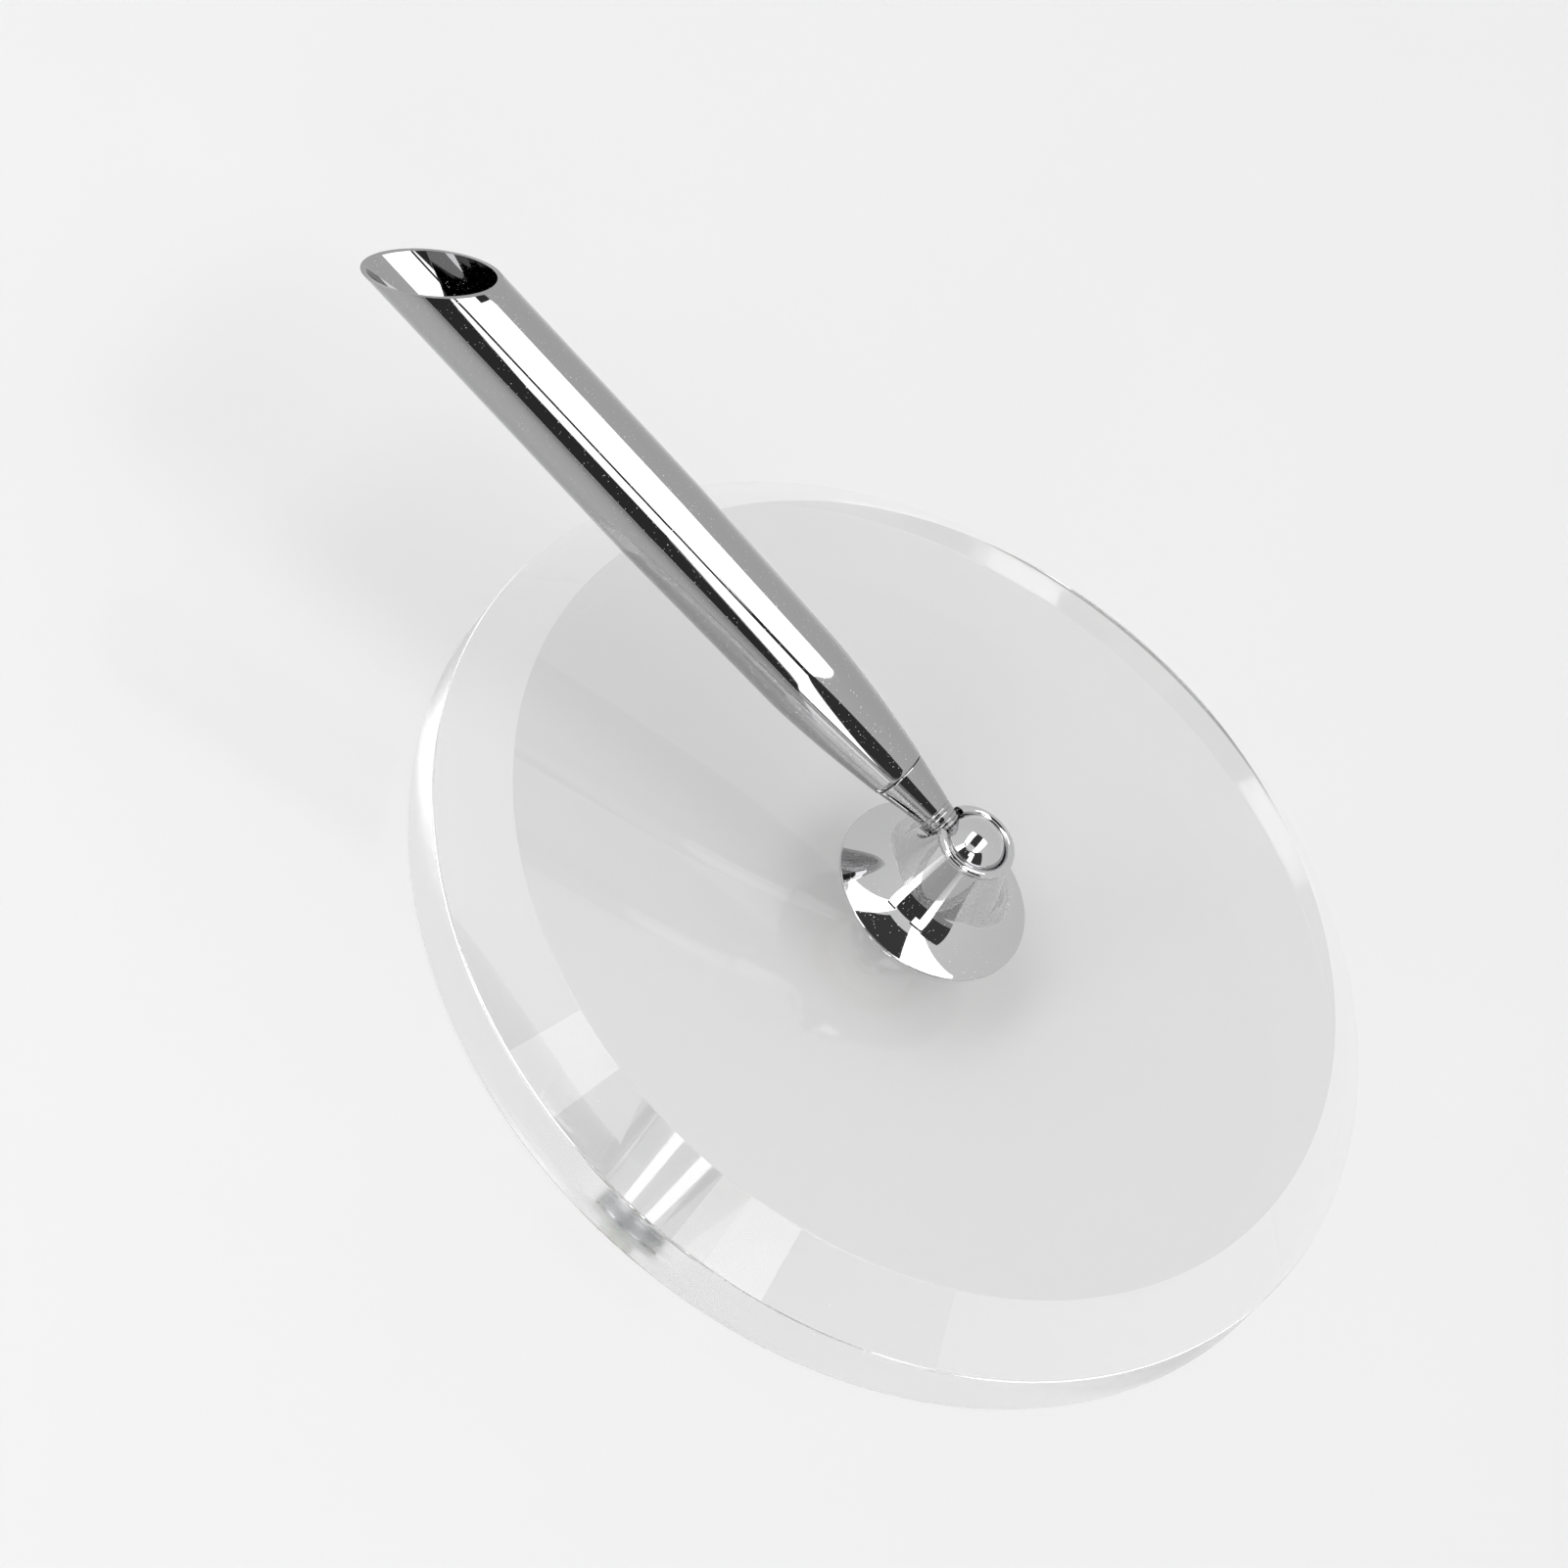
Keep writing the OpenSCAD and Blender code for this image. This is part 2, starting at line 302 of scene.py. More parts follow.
class Shader:
    """A material's node tree, with short calls for the nodes that the finishes share."""

    def __init__(self, name):
        self.material = bpy.data.materials.new(name)
        self.material.use_nodes = True
        self.tree = self.material.node_tree
        self.surface = self.tree.nodes["Principled BSDF"]
        self.place = self.tree.nodes.new("ShaderNodeTexCoord").outputs["Object"]

    def set(self, **values):
        """Sets plain values on the surface's own sockets."""
        for name, value in values.items():
            self.surface.inputs[name.replace("_", " ")].default_value = value

    def link(self, output, name):
        """Feeds one of the surface's sockets from a node."""
        self.tree.links.new(output, self.surface.inputs[name])

    def feed(self, node, name, value):
        """Gives a node's socket a plain value or another node's output."""
        if isinstance(value, bpy.types.NodeSocket):
            self.tree.links.new(value, node.inputs[name])
        else:
            node.inputs[name].default_value = value

    def stretched(self, scale):
        """The piece's own coordinates, scaled along each axis."""
        node = self.tree.nodes.new("ShaderNodeMapping")
        self.tree.links.new(self.place, node.inputs["Vector"])
        node.inputs["Scale"].default_value = scale
        return node.outputs["Vector"]

    def noise(self, size_mm, detail=4.0, roughness=0.55, distortion=0.0, where=None):
        """Noise with features about size_mm across, from 0 to 1."""
        node = self.tree.nodes.new("ShaderNodeTexNoise")
        self.feed(node, "Vector", where or self.place)
        self.feed(node, "Scale", 1 / (size_mm * MM))
        self.feed(node, "Detail", detail)
        self.feed(node, "Roughness", roughness)
        self.feed(node, "Distortion", distortion)
        return node.outputs["Fac"]

    def cells(self, size_mm):
        """Voronoi cells about size_mm across: distance and colour outputs."""
        node = self.tree.nodes.new("ShaderNodeTexVoronoi")
        self.feed(node, "Vector", self.place)
        self.feed(node, "Scale", 1 / (size_mm * MM))
        return node.outputs["Distance"], node.outputs["Color"]

    def ramp(self, value, low, high, to_low=0.0, to_high=1.0):
        """value from low..high becomes to_low..to_high, smoothly and clamped."""
        node = self.tree.nodes.new("ShaderNodeMapRange")
        node.interpolation_type = "SMOOTHSTEP"
        self.feed(node, "Value", value)
        for name, number in (("From Min", low), ("From Max", high), ("To Min", to_low), ("To Max", to_high)):
            self.feed(node, name, number)
        return node.outputs["Result"]

    def height(self):
        """Height above the table."""
        node = self.tree.nodes.new("ShaderNodeSeparateXYZ")
        self.tree.links.new(self.place, node.inputs["Vector"])
        return node.outputs["Z"]

    def reach(self):
        """Distance from the stand's axis."""
        node = self.tree.nodes.new("ShaderNodeVectorMath")
        node.operation = "LENGTH"
        self.tree.links.new(self.stretched((1, 1, 0)), node.inputs[0])
        return node.outputs["Value"]

    def math(self, operation, a, b):
        """One step of arithmetic; a and b are numbers or other nodes' outputs."""
        node = self.tree.nodes.new("ShaderNodeMath")
        node.operation = operation
        self.feed(node, 0, a)
        self.feed(node, 1, b)
        return node.outputs["Value"]

    def tint(self, factor, colour_a, colour_b):
        """Colour that goes from a to b with the factor; colour_a may be another node's output."""
        node = self.tree.nodes.new("ShaderNodeMix")
        node.data_type = "RGBA"
        self.tree.links.new(factor, node.inputs["Factor"])
        self.feed(node, "A", colour_a if isinstance(colour_a, bpy.types.NodeSocket) else (*colour_a, 1))
        self.feed(node, "B", (*colour_b, 1))
        return node.outputs["Result"]

    def bump(self, height, depth_mm):
        """Fine relief on the surface, depth_mm deep where height goes from 0 to 1."""
        node = self.tree.nodes.new("ShaderNodeBump")
        node.inputs["Strength"].default_value = 1.0
        node.inputs["Distance"].default_value = depth_mm * MM
        self.tree.links.new(height, node.inputs["Height"])
        self.tree.links.new(node.outputs["Normal"], self.surface.inputs["Normal"])

    def specks(self, size_mm, share, radius):
        """Mask of small spots: one in every few cells of size_mm, given by share, radius in cell sizes."""
        distance, colour = self.cells(size_mm)
        split = self.tree.nodes.new("ShaderNodeSeparateColor")
        self.tree.links.new(colour, split.inputs["Color"])
        chosen = self.math("LESS_THAN", split.outputs["Red"], share)
        spot = self.ramp(distance, radius * 0.5, radius, 1.0, 0.0)
        return self.math("MULTIPLY", chosen, spot)


def chrome_finish(name, grey, haze_mm, swirl):
    """Mirror-polished plate: faint haze from handling, hairlines, and grains of dust that show in dark
    reflections."""
    s = Shader(name)
    s.set(Metallic=1.0)
    haze = s.noise(haze_mm, detail=5, distortion=swirl)
    hairlines = s.noise(0.9, detail=6, roughness=0.7, distortion=3.5, where=s.stretched((0.12, 1.0, 1.0)))
    scratch_start = s.ramp(hairlines, 0.498, 0.5, 0.0, 1.0)
    scratch_end = s.ramp(hairlines, 0.5, 0.502, 1.0, 0.0)
    scratch = s.math("MULTIPLY", scratch_start, scratch_end)
    dust = s.math("MAXIMUM", s.specks(0.55, 0.3, 0.16), s.specks(0.3, 0.25, 0.2))
    polish = s.ramp(haze, 0.42, 0.75, 0.012, 0.05)
    marked = s.math("MULTIPLY", scratch, 0.10)
    dusty = s.math("MULTIPLY", dust, 0.5)
    s.link(s.math("ADD", s.math("ADD", polish, marked), dusty), "Roughness")
    s.link(s.tint(dust, (grey, grey, grey * 1.01), (0.75, 0.75, 0.74)), "Base Color")
    ripple = s.noise(5.0, detail=1)
    height = s.math("ADD", s.math("MULTIPLY", ripple, 0.5), s.math("MULTIPLY", scratch, -0.02))
    s.bump(height, 0.006)
    return s.material


def acrylic_finish():
    """Clear polished acrylic: faint wiping haze and a few specks of dust, painted shade as a grey tint in
    the flat top, turning marks on the side wall, and painted contact shade as a darker band along its lowest
    edge."""
    s = Shader("clear_acrylic")
    s.set(Metallic=0.0, IOR=1.46)
    smudge = s.ramp(s.noise(9.0, detail=5, roughness=0.6, distortion=1.0), 0.68, 0.8)
    dust = s.specks(2.4, 0.12, 0.05)
    s.link(s.math("SUBTRACT", 1.0, s.math("MULTIPLY", dust, 0.35)), "Transmission Weight")

    height, reach = s.height(), s.reach()
    # Painted shade: the flat top is tinted grey. The disc is skipped by shadow and diffuse rays, so this
    # grey stands in for the light that the disc would keep off the table beneath it.
    top = s.ramp(height, (disc_h - 0.06) * MM, (disc_h - 0.02) * MM)
    wall = s.ramp(reach, (disc_r - 0.02) * MM, (disc_r - 0.005) * MM)
    # Painted contact shade: the bottom of the side wall is darkened where the disc meets the table.
    outer = s.ramp(reach, (disc_r - 0.3) * MM, (disc_r - 0.2) * MM)
    lowest = s.ramp(height, 0.25 * MM, 0.35 * MM, 1.0, 0.0)
    painted_contact_shade = s.math("MULTIPLY", outer, lowest)

    marks = s.math("ADD", s.math("MULTIPLY", smudge, 0.05), s.math("MULTIPLY", dust, 0.35))
    turned = s.ramp(s.noise(0.35, detail=3, where=s.stretched((0.02, 0.02, 1.0))), 0.35, 0.65, 0.04, 0.16)
    s.link(s.math("ADD", marks, s.math("MULTIPLY", wall, turned)), "Roughness")

    # The flat top's grey is painted shade; the smudges' darkening is real dirt.
    shade = s.math("MAXIMUM", top, s.math("MULTIPLY", smudge, 0.3))
    body = s.tint(shade, (0.97, 0.97, 0.97), (0.74, 0.74, 0.74))
    # The darker band at the disc's lowest edge is painted contact shade.
    s.link(s.tint(painted_contact_shade, body, (0.3, 0.3, 0.3)), "Base Color")
    return s.material


def zinc_finish():
    """Bright zinc plate with turning marks and a patchy bloom."""
    s = Shader("zinc_plate")
    s.set(Metallic=1.0)
    bloom = s.noise(1.6, detail=5)
    turning = s.noise(0.25, detail=3, where=s.stretched((1.0, 1.0, 6.0)))
    s.link(s.ramp(bloom, 0.3, 0.7, 0.22, 0.42), "Roughness")
    s.link(s.tint(bloom, (0.58, 0.60, 0.62), (0.72, 0.73, 0.73)), "Base Color")
    s.bump(turning, 0.01)
    return s.material


def spring_finish():
    """Drawn spring wire, darker than the plate, with draw marks along it."""
    s = Shader("spring_wire")
    s.set(Metallic=1.0)
    marks = s.noise(0.18, detail=4, where=s.stretched((1.0, 1.0, 5.0)))
    s.link(s.ramp(marks, 0.3, 0.7, 0.25, 0.4), "Roughness")
    s.link(s.tint(marks, (0.30, 0.30, 0.31), (0.48, 0.48, 0.49)), "Base Color")
    s.bump(marks, 0.006)
    return s.material


def brass_finish():
    """Turned, unplated brass, tarnished in patches."""
    s = Shader("turned_brass")
    s.set(Metallic=1.0)
    tarnish = s.noise(2.2, detail=6, roughness=0.65)
    rings = s.noise(0.2, detail=2, where=s.stretched((1.0, 1.0, 4.0)))
    s.link(s.ramp(tarnish, 0.35, 0.7, 0.2, 0.45), "Roughness")
    s.link(s.tint(tarnish, (0.80, 0.62, 0.30), (0.50, 0.36, 0.17)), "Base Color")
    s.bump(rings, 0.01)
    return s.material


def nylon_finish():
    """Natural moulded nylon: milky, slightly uneven, with a fine moulded texture."""
    s = Shader("moulded_nylon")
    s.set(Subsurface_Weight=0.3, Subsurface_Scale=0.001)
    cloud = s.noise(2.5, detail=4)
    grain = s.noise(0.12, detail=3)
    s.link(s.ramp(grain, 0.3, 0.7, 0.42, 0.6), "Roughness")
    s.link(s.tint(cloud, (0.84, 0.83, 0.78), (0.93, 0.92, 0.88)), "Base Color")
    s.bump(grain, 0.01)
    return s.material


def rubber_finish():
    """Black moulded rubber with a grey dusty bloom."""
    s = Shader("black_rubber")
    bloom = s.noise(1.2, detail=6, roughness=0.7)
    grain = s.noise(0.1, detail=3)
    s.link(s.ramp(bloom, 0.35, 0.7, 0.65, 0.85), "Roughness")
    s.link(s.tint(bloom, (0.02, 0.02, 0.02), (0.07, 0.07, 0.07)), "Base Color")
    s.bump(grain, 0.02)
    return s.material


chrome_grey = 0.6
# The tube's chrome is a darker grey than the base's and the ball's. This is painted shade: it stands in for
# the shaded table that the tube's underside reflects.
shaded_tube_grey = 0.42
tube_chrome = chrome_finish("tube_chrome", shaded_tube_grey, 14.0, 0.6)
base_chrome = chrome_finish("base_chrome", chrome_grey, 6.0, 1.1)
ball_chrome = chrome_finish("ball_chrome", chrome_grey, 4.0, 0.3)
clear_acrylic = acrylic_finish()
zinc = zinc_finish()
spring_wire = spring_finish()
brass = brass_finish()
nylon = nylon_finish()
rubber = rubber_finish()

# ------------------------------------------------------------------ the stand


def clear_disc():
    """Thick disc with a flat conical bevel, crisp ground edges, and the screw's recess and hole."""
    outline = blended([
        (disc_hole_r, recess_h, 0.1),
        (recess_r, recess_h, 0.25),
        (recess_r, 0, 0.2),
        (disc_r, 0, 0.45),
        (disc_r, disc_side_h, 0.3),
        (disc_top_r, disc_h, 0.14),
        (disc_hole_r, disc_h, 0.1),
    ])
    obj = new_object("clear_disc", lathe(outline, 288, closed=True))
    # Light falls through the clear disc onto the table: the disc is skipped by shadow and diffuse rays.
    obj.visible_shadow = False
    obj.visible_diffuse = False
    return dress(obj, "disc_base", clear_acrylic)


def bush():
    """Flanged nylon sleeve in the disc's hole."""
    bore = screw_r + run_gap
    outline = blended([
        (bore, bush_low.z, 0.1),
        (disc_hole_r, bush_low.z, 0.15),
        (disc_hole_r, disc_h, 0),
        (bush_high.x, disc_h, 0.08),
        (bush_high.x, bush_high.z, 0.12),
        (bore, bush_high.z, 0.1),
    ], 3)
    obj = new_object("nylon_bush", lathe(outline, 72, closed=True))
    return dress(obj, "disc_bush", nylon)


def washer():
    """Flat washer with the rolled edge that punching leaves."""
    hole = screw_r + washer_play
    low, high = flat_washer_low.z, flat_washer_high.z
    outline = blended([
        (hole, low, 0.1),
        (flat_washer_high.x, low, 0.25),
        (flat_washer_high.x, high, 0.08),
        (hole, high, 0.08),
    ], 4)
    obj = new_object("plain_washer", lathe(outline, 72, closed=True))
    return dress(obj, "flat_washer", zinc)


def split_washer():
    """Square-section spring washer, squeezed flat, with a slanted split."""
    hole = screw_r + washer_play
    low, high = spring_washer_low.z, spring_washer_high.z
    outline = blended([
        (hole, low, 0.1),
        (spring_washer_high.x, low, 0.1),
        (spring_washer_high.x, high, 0.1),
        (hole, high, 0.1),
    ], 2)
    start, end, steps = 1.0, 350.0, 96
    slant = 6.0
    rings = []
    for k in range(steps + 1):
        ring = []
        for r, z in outline:
            lean = slant * (z - low) / (high - low) * (1 - k / steps)
            a = math.radians(start + lean + (end - start) * k / steps)
            ring.append(round_point(r, a, z))
        rings.append(ring)
    obj = new_object("split_washer", sweep(rings))
    return dress(obj, "spring_washer", zinc)


def thread_depth(pitches):
    """Height of a thread's flank, 0 in the root and 1 on the crest, for a place counted in pitches."""
    half_crest, flank = 0.15, 0.25
    off_crest = abs(pitches % 1.0 - 0.5)
    return max(0.0, min(1.0, 1 + (half_crest - off_crest) / flank))


def threaded_rod(low, high, fade):
    """Surface rings of a rod with a helical thread, which runs in over the first fade millimetres and ends
    in a small chamfer."""
    segments = 48
    step = thread_pitch / 12
    point_len, point_depth = 0.3, 0.25
    rings = []
    for k in range(int((high - low) / step) + 1):
        z = low + k * step
        run_in = min(1.0, (z - low) / fade)
        ring = []
        for j, a in enumerate(turns(segments)):
            crest = thread_depth(z / thread_pitch - j / segments)
            r = screw_core_r + (screw_r - screw_core_r) * max(crest, 1 - run_in)
            r -= point_depth * max(0.0, 1 - (high - z) / point_len)
            ring.append(round_point(r, a, z))
        rings.append(ring)
    return rings


def screw():
    """Cap screw: domed cross-recessed head, plain shank, and a helical thread into the insert."""
    segments = 48
    head_low = screw_low.z
    head_top = head_low + screw_head_h
    dome = 1.0
    bevel = 0.12
    under_head = 0.2
    thread_start = disc_h - 1
    flat_r = screw_head_r * 0.3
    profile = [(flat_r, head_low + 0.02)]
    profile += [tuple(p) for p in arc(screw_head_r - dome, head_low + dome, dome, -90, 0, 8)]
    profile += [(screw_head_r, head_top - bevel), (screw_head_r - bevel, head_top)]
    profile += [(screw_r + under_head, head_top), (screw_r, head_top + under_head)]
    rings = [[round_point(r, a, z) for a in turns(segments)] for r, z in profile]
    rings += threaded_rod(thread_start, screw_high.z, 0.8)
    obj = new_object("fixing_screw", sweep(rings))
    for turn in (0, 90):
        cut(obj, cross_blade(turn, head_low))
    return dress(obj, "base_screw", zinc)


def cross_blade(turn, head_low):
    """One tapered blade of the cross recess."""
    spin = Matrix.Rotation(math.radians(turn), 4, "Z")
    rings = []
    for z, length, width in ((head_low - 0.5, 4.2, 0.9), (head_low + 1.4, 1.6, 0.62)):
        half, side = length / 2, width / 2
        corners = ((-half, -side), (half, -side), (half, side), (-half, side))
        rings.append([spin @ Vector((x, y, z)) for x, y in corners])
    return sweep(rings)


def flare_outline(steps=40):
    """Outside of the swivel base from the flange's edge up to the collar: a straight slope, a bend that ends
    in a fine crease, and a straight cone."""
    end_r = flange_r - rim_round
    slope, lean = math.tan(flange_slope), math.tan(bend_lean)
    crease = Vector((neck_r + (flare_top - crease_z) * math.tan(neck_lean), crease_z))
    corner_r = (crease.x + (crease_z - flange_top - end_r * slope) * lean) / (1 - slope * lean)
    corner = Vector((corner_r, flange_top + (end_r - corner_r) * slope))
    out = Vector((math.cos(flange_slope), -math.sin(flange_slope)))
    curve = (corner + bend_out * out, corner + bend_out * (1 - bend_pull) * out,
             crease + bend_pull * (corner - crease), crease)
    return [bezier(curve, t) for t in spread(0, 1, steps)] + [Vector((neck_r, flare_top))]


def swivel_base():
    """Trumpet-shaped base: sloping flange, cone-shaped neck, rolled collar round the ball, and the slot for
    the funnel."""
    meets = math.degrees(math.acos((neck_r - bead_ring_r) / bead_r))
    inside = math.degrees(math.acos((socket_r - bead_ring_r) / bead_r))
    outline = blended([
        (socket_r, ledge_h, 0),
        (ledge_r, ledge_h, 0.1),
        (ledge_r + ledge_rim, base_foot + hollow_h, 0.2),
        (foot_r - hollow_h, base_foot + hollow_h, 0.1),
        (foot_r, base_foot, 0.1),
    ], 3)
    edge_r = flange_r - rim_round
    outline += arc(edge_r, base_foot + rim_round, rim_round, -90, 0, 5)
    outline += arc(edge_r, flange_top - rim_round, rim_round, 0, 90 - math.degrees(flange_slope), 6)
    outline += flare_outline()
    outline += arc(bead_ring_r, bead_z, bead_r, -meets, 360 - inside, 36)
    obj = new_object("trumpet_base", lathe(outline, 160, closed=True))
    cut(obj, slot_cutter())
    return dress(obj, "swivel_base", base_chrome, crease=5)


def slot_cutter():
    """Slot with a round lower end, out through one side of the neck and the collar."""
    half = slot_w / 2
    above = base_high.z + 2
    outline = [tuple(p) for p in arc(0, slot_z, half, 180, 360, 24)]
    outline += [(half, above), (-half, above)]
    far = -2 * neck_r
    return sweep([[(x, y, z) for y, z in outline] for x in (0.0, far)])


def insert():
    """Brass plate and boss pressed into the base's underside, with a chamfered tapped hole."""
    plate_r = insert_high.x
    outline = blended([
        (screw_r, insert_low.z, 0.15),
        (plate_r, insert_low.z, 0.12),
        (plate_r, ledge_h, 0.05),
        (socket_r, ledge_h, 0),
        (socket_r, insert_high.z, 0.15),
        (screw_r, insert_high.z, 0.15),
    ], 3)
    obj = new_object("tapped_insert", lathe(outline, 72, closed=True))
    return dress(obj, "base_insert", brass)


def seat_spring():
    """Coil spring of round wire, an even helix between the insert and the ball's seat."""
    low = insert_high.z + wire_r
    high = seat_low.z - wire_r
    sides = 14
    rings = []
    for t in spread(0, 1, coil_turns * 48):
        a = 2 * math.pi * coil_turns * t
        z = low + (high - low) * t
        rings.append([round_point(coil_r + wire_r * math.cos(b), a, z + wire_r * math.sin(b))
                      for b in turns(sides)])
    obj = new_object("coil_spring", sweep(rings))
    return dress(obj, "seat_spring", spring_wire)


def ball_seat():
    """Nylon cup with a spherical hollow that the ball rests in."""
    outer = seat_high.x
    hollow = ball_r + run_gap
    rim_angle = math.degrees(math.asin((seat_high.z - ball_centre.z) / hollow))
    rim_r = hollow * math.cos(math.radians(rim_angle))
    outline = [Vector((0, seat_low.z))]
    outline += blended([(outer - 1, seat_low.z, 0), (outer, seat_low.z, 0.15),
                        (outer, seat_high.z, 0.1), (rim_r, seat_high.z, 0)], 3)[1:]
    outline += arc(0, ball_centre.z, hollow, rim_angle, -90, 24)[1:]
    outline[-1].x = 0
    obj = new_object("seat_cup", lathe(outline, 72))
    return dress(obj, "ball_seat", nylon)


# ------------------------------------------------------------------ the funnel


def tube_outer(d):
    """Outer radius of the tube at distance d from the ball's centre."""
    if d >= straight_dist:
        return tube_r
    radius = tube_r - slim_slope * (straight_dist - d)
    if d < ogive_dist:
        radius -= nose_drop * ((ogive_dist - d) / (ogive_dist - seam_dist)) ** 1.5
    return radius


def ball_stud():
    """Polished ball with the stem that the nozzle screws onto."""
    fillet = 0.25
    bevel = 0.2
    meets = math.degrees(math.acos((stem_r + fillet) / ball_r))
    outline = arc(0, 0, ball_r, -90, meets, 64)
    outline[0].x = 0
    neck_z = ball_r * math.sin(math.radians(meets)) + 0.2
    outline += [(stem_r + 0.06, neck_z), (stem_r, neck_z + 0.15)]
    outline += [(stem_r, stem_len - bevel), (stem_r - bevel, stem_len), (0, stem_len)]
    obj = new_object("ball_and_stem", lathe(outline, 128, on_funnel))
    return dress(obj, "ball_stud", ball_chrome)


def nozzle_radius(d):
    """Radius of the nozzle's cone, with a rounded dip at each ring groove."""
    radius = tip_r + (seam_r - tip_r) * (d - tip_dist) / (seam_dist - tip_dist)
    for groove in groove_dists:
        off = abs(d - groove) / groove_half
        if off < 1:
            radius -= groove_deep * 0.5 * (1 + math.cos(math.pi * off))
    return radius


def nozzle():
    """Cone between ball and tube: a fine bead at its tip, three ring grooves, and the spigot inside the
    tube."""
    bore = stem_r + run_gap
    bore_top = stem_len + seam_gap
    bore_bevel = 0.1
    bead_len = 0.4
    spigot_side = spigot_r - 0.02
    spigot_top = seam_dist + spigot_len
    outline = [(0, bore_top), (bore, bore_top), (bore, tip_dist + bore_bevel), (bore + bore_bevel, tip_dist)]
    outline += arc(tip_r - 0.14, tip_dist + bead_len / 2, bead_len / 2, -90, 65, 8)
    cone_start = tip_dist + bead_len + 0.1
    outline += [(nozzle_radius(d), d) for d in spread(cone_start, seam_dist - seam_bevel, 130)]
    outline += [(seam_r - 0.035, seam_dist - 0.04), (seam_r - seam_bevel, seam_dist)]
    outline += [(spigot_side, seam_dist), (spigot_side, spigot_top), (0, spigot_top)]
    obj = new_object("nozzle_cone", lathe(outline, 112, on_funnel))
    return dress(obj, "funnel_nozzle", tube_chrome)


def mouth_at(r, a):
    """Distance of the cut mouth's plane from the ball's centre, at radius r and angle a round the tube."""
    return mouth_dist - r * math.tan(mouth_cut) * math.cos(a - mouth_turn)


def tube_rows():
    """The tube's surface as rows, from the seam up the outside, over the mouth's rim and down the bore. Each
    row is (radius, distance), or a function of the angle that gives both where the mouth slants."""
    start = seam_dist + seam_gap
    slant_start = straight_dist + 10
    edge = 0.1

    def slanting(radius, share):
        """Row at one radius, that far on the way from where the slant starts to the mouth's edge."""
        return lambda a: (radius, slant_start + (mouth_at(radius, a) - edge - slant_start) * share)

    def softened(radius, inward, share):
        """Row on the rim's rounded edge, which bends inward from the outside, or outward from the bore."""
        bent = radius - inward * edge * share * share
        return lambda a: (bent, mouth_at(radius, a) - edge * (1 - share) ** 2)

    end_r = tube_outer(start)
    rows = [(spigot_r, start), (end_r - seam_bevel, start), (end_r - 0.04, start + 0.04)]
    rows += [(tube_outer(d), d) for d in spread(start + 0.15, ogive_dist, 44)]
    rows += [(tube_outer(d), d) for d in spread(ogive_dist, straight_dist, 16)[1:]]
    rise = spread(0, 1, 14)
    rows += [slanting(tube_r, t) for t in rise]
    rows += [softened(tube_r, 1, t) for t in (0.35, 0.75)]
    rows.append(lambda a: (tube_r - edge, mouth_at(tube_r - edge, a)))
    rows.append(lambda a: (bore_r + edge, mouth_at(bore_r + edge, a)))
    rows += [softened(bore_r, -1, t) for t in (0.75, 0.35)]
    rows += [slanting(bore_r, 1 - t) for t in rise]
    rows += [(tube_outer(d) - tube_wall, d) for d in spread(straight_dist, bore_low, 40)]
    rows.append((spigot_r, seam_dist + spigot_len))
    return rows


def tube():
    """Pen tube: rounded nose, slight taper, straight barrel, and the slanted mouth with a softened rim."""
    segments = 144
    rings = []
    for row in tube_rows():
        ring = []
        for a in turns(segments):
            r, d = row(a) if callable(row) else row
            ring.append(on_funnel @ round_point(r, a, d))
        rings.append(ring)
    obj = new_object("pen_tube", sweep(rings, closed=True))
    return dress(obj, "funnel_tube", tube_chrome)


def cushion():
    """Rubber pad at the bottom of the tube, dished for the pen's point."""
    low = seam_dist + spigot_len
    high = low + cushion_h
    dish_r, dish_floor_r = 2.2, 0.3
    dish_floor = high - 1.2
    outline = [(0, low)]
    outline += blended([(cushion_r - 1, low, 0), (cushion_r, low, 0.15), (cushion_r, high, 0.2),
                        (dish_r, high, 0.2), (dish_floor_r, dish_floor, 0.2), (0, dish_floor, 0)], 4)[1:]
    obj = new_object("point_cushion", lathe(outline, 64, on_funnel))
    return dress(obj, "tip_cushion", rubber)


for build in (clear_disc, bush, washer, split_washer, screw, swivel_base, insert, seat_spring, ball_seat,
              ball_stud, nozzle, tube, cushion):
    build()

# ------------------------------------------------------------------ floor, light and camera


def aim(azimuth, elevation):
    """Direction from the stand. Azimuth 0 is towards -Y and 90 towards +X, in degrees."""
    a, e = math.radians(azimuth), math.radians(elevation)
    return Vector((math.sin(a) * math.cos(e), -math.cos(a) * math.cos(e), math.sin(e)))


def panel(name, width, height, level=0.0):
    """Flat rectangle about the origin, in metres."""
    mesh = bmesh.new()
    signs = ((-1, -1), (1, -1), (1, 1), (-1, 1))
    mesh.faces.new([mesh.verts.new((x * width / 2, y * height / 2, level)) for x, y in signs])
    return new_object(name, mesh)


def floor():
    """Plain pale satin table top, just under the disc."""
    side = 6.0
    obj = panel("floor", side, side, -0.05 * MM)
    s = Shader("floor_paint")
    patch = s.noise(60, detail=3)
    s.link(s.tint(patch, (0.79, 0.79, 0.79), (0.81, 0.81, 0.81)), "Base Color")
    s.set(Roughness=0.12, Specular_IOR_Level=0.5)
    obj.data.materials.append(s.material)


def room_light(name, place, size, glow, turn):
    """Rectangular area light of a set brightness, not seen by the camera itself."""
    light = bpy.data.lights.new(name, "AREA")
    light.shape = "RECTANGLE"
    light.size, light.size_y = size
    light.energy = math.pi * size[0] * size[1] * glow
    obj = bpy.data.objects.new(name, light)
    obj.location = place
    obj.rotation_euler = turn
    obj.visible_camera = False
    bpy.context.scene.collection.objects.link(obj)


